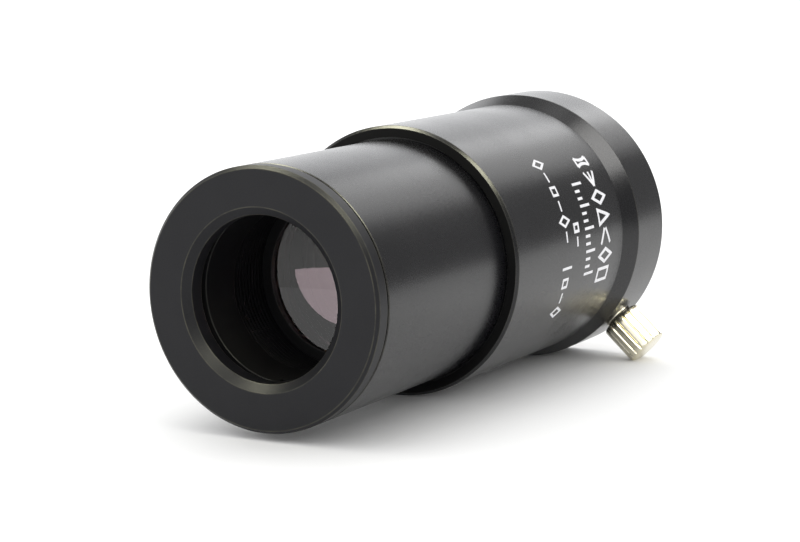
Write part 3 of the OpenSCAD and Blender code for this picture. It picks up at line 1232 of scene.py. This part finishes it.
def makeFloor():
    look = studioFloor
    mesh = bpy.data.meshes.new("studioFloor")
    work = bmesh.new()
    bmesh.ops.create_grid(work, x_segments=24, y_segments=24, size=look["size"] / 2)
    work.to_mesh(mesh)
    work.free()
    floor = addObject("studioFloor", mesh)
    floor.location = (0, 0, -look["belowAxis"] * mm)
    floor.rotation_euler = (-math.radians(look["tilt"]), 0, 0)
    material, tree, shader = newMaterial("studioPaper", {"IOR": 1.4, "Specular IOR Level": 0.2})
    grain = placeGroup(tree, grainGroup, {
        "Color": look["color"], "Second Color": look["secondColor"],
        "Low Roughness": 0.7, "High Roughness": 0.8, "Grain Size": 2500.0, "Patch Size": 8.0})
    tree.links.new(grain.outputs["Color"], shader.inputs["Base Color"])
    tree.links.new(grain.outputs["Roughness"], shader.inputs["Roughness"])
    mesh.materials.append(material)


# Those that don't light the floor show only in reflections. Sizes and distances are in metres.
softboxes = {
    "keySoftbox": {
        "direction": (0.59, 0.31, 0.74), "distance": 0.55, "width": 0.36, "height": 0.36,
        "radiance": 5.0, "color": (1.0, 0.99, 0.97), "lightsFloor": False},
    "backSoftbox": {
        "direction": (-0.62, 0.76, 0.2), "distance": 0.9, "width": 1.3, "height": 0.75,
        "radiance": 1.15, "color": (0.97, 0.98, 1.0), "lightsFloor": True},
    "topSoftbox": {
        "direction": (-0.1, 0.15, 1.0), "distance": 0.9, "width": 0.7, "height": 0.7,
        "radiance": 0.85, "color": (1.0, 1.0, 1.0), "lightsFloor": True},
    "sideSoftbox": {
        "direction": (0.06, 0.85, 0.52), "distance": 0.8, "width": 0.36, "height": 0.34,
        "radiance": 1.2, "color": (1.0, 1.0, 1.0), "lightsFloor": False},
    "frontRightSoftbox": {
        "direction": (0.43, -0.45, 0.78), "distance": 0.7, "width": 0.26, "height": 0.26,
        "radiance": 17.0, "color": (1.0, 0.98, 0.74), "lightsFloor": False},
    "frontLeftSoftbox": {
        "direction": (-0.42, -0.2, 0.86), "distance": 0.7, "width": 0.3, "height": 0.26,
        "radiance": 20.0, "color": (1.0, 0.98, 0.74), "lightsFloor": False},
    "frontLowSoftbox": {
        "direction": (-0.15, -0.95, 0.42), "distance": 0.62, "width": 1.1, "height": 0.8,
        "radiance": 1.0, "color": (1.0, 1.0, 1.0), "lightsFloor": False},
}


# The light's energy follows from how bright its face should look, whatever its size
def placeSoftbox(name, look, location, direction, shape="RECTANGLE"):
    light = bpy.data.lights.new(name, "AREA")
    light.shape = shape
    light.size, light.size_y = look["width"], look["height"]
    light.energy = 4 * look["radiance"] * look["width"] * look["height"]
    light.color = look["color"]
    lamp = addObject(name, light)
    lamp.location = location
    lamp.rotation_euler = direction.to_track_quat("Z", "Y").to_euler()
    lamp.visible_camera = False
    lamp.visible_diffuse = look.get("lightsFloor", False)
    return lamp


def makeSoftboxes():
    for name, look in softboxes.items():
        direction = Vector(look["direction"]).normalized()
        placeSoftbox(name, look, direction * look["distance"], direction)


# Links a light to some pieces, so that no other one is lit by it or mirrors it
def onlyLights(lamp, pieces):
    receivers = bpy.data.collections.new(lamp.name + "Receivers")
    for piece in pieces:
        receivers.objects.link(piece)
    lamp.light_linking.receiver_collection = receivers


# A low oval panel close in front, half hidden by the floor, that only the glass reflects
glassPanel = {
    "lensMiddle": -0.012,   # along the optical axis
    "fromLens": 0.078,
    "aside": 25.0,          # degrees from the optical axis, towards -X
    "width": 0.072,
    "height": 0.064,
    "radiance": 2.6,
    "color": (1.0, 0.77, 0.84),
}


def makeGlassPanel(pieces):
    look = glassPanel
    aside = math.radians(look["aside"])
    direction = Vector((-math.sin(aside), -math.cos(aside), 0.0))
    place = Vector((0, look["lensMiddle"], 0)) + direction * look["fromLens"]
    slope = math.tan(math.radians(studioFloor["tilt"]))
    place.z = -studioFloor["belowAxis"] * mm - place.y * slope
    onlyLights(placeSoftbox("glassPanel", look, place, direction, "ELLIPSE"), pieces)


# A panel to the right that only the thumbscrew reflects
screwPanel = {
    "direction": (0.85, -0.5, 0.12),
    "distance": 0.5,
    "width": 0.5,
    "height": 0.45,
    "radiance": 1.7,
    "color": (1.0, 1.0, 0.97),
}


def makeScrewPanel(piece):
    direction = Vector(screwPanel["direction"]).normalized()
    lamp = placeSoftbox("screwPanel", screwPanel, direction * screwPanel["distance"], direction)
    onlyLights(lamp, [piece])


studioRoom = {
    "color": (1, 1, 1, 1),
    "reflected": 0.34,
    "fill": 1.2,
    "backdrop": 1.3,
}


# The room fills the shadows more than it shows in reflections, and the camera sees plain white
def makeRoom():
    world = bpy.data.worlds.new("studioRoom")
    bpy.context.scene.world = world
    world.use_nodes = True
    tree = world.node_tree
    tree.nodes.clear()
    path = addNode(tree, "ShaderNodeLightPath")
    reflected = addNode(tree, "ShaderNodeBackground", values={
        "Color": studioRoom["color"], "Strength": studioRoom["reflected"]})
    shown = reflected.outputs[0]
    for ray, strength in (("Is Diffuse Ray", "fill"), ("Is Camera Ray", "backdrop")):
        background = addNode(tree, "ShaderNodeBackground", values={
            "Color": studioRoom["color"], "Strength": studioRoom[strength]})
        mix = addNode(tree, "ShaderNodeMixShader")
        tree.links.new(path.outputs[ray], mix.inputs[0])
        tree.links.new(shown, mix.inputs[1])
        tree.links.new(background.outputs[0], mix.inputs[2])
        shown = mix.outputs[0]
    output = addNode(tree, "ShaderNodeOutputWorld")
    tree.links.new(shown, output.inputs["Surface"])


studioCamera = {
    "place": (136.9, -247.9, 43.7),   # millimetres in the part's frame
    "aim": (8.5, -14.2, 1.4),
    "roll": 0.73,
    "lens": 100.0,
    "sensor": 36.0,
    "clip": (0.01, 50.0),
}


def makeCamera():
    look = studioCamera
    place = Vector(look["place"]) * mm
    data = bpy.data.cameras.new("studioCamera")
    data.lens = look["lens"]
    data.sensor_width = look["sensor"]
    data.clip_start, data.clip_end = look["clip"]
    camera = addObject("studioCamera", data)
    back = (place - Vector(look["aim"]) * mm).normalized()
    facing = back.to_track_quat("Z", "Y").to_matrix().to_4x4()
    camera.matrix_world = (Matrix.Translation(place) @ facing
                           @ Matrix.Rotation(-math.radians(look["roll"]), 4, "Z"))
    bpy.context.scene.camera = camera


makeFloor()
makeSoftboxes()
makeGlassPanel(glassPieces)
makeScrewPanel(screwPiece)
makeRoom()
makeCamera()
bpy.context.scene.view_settings.view_transform = "Standard"
print("studio made")
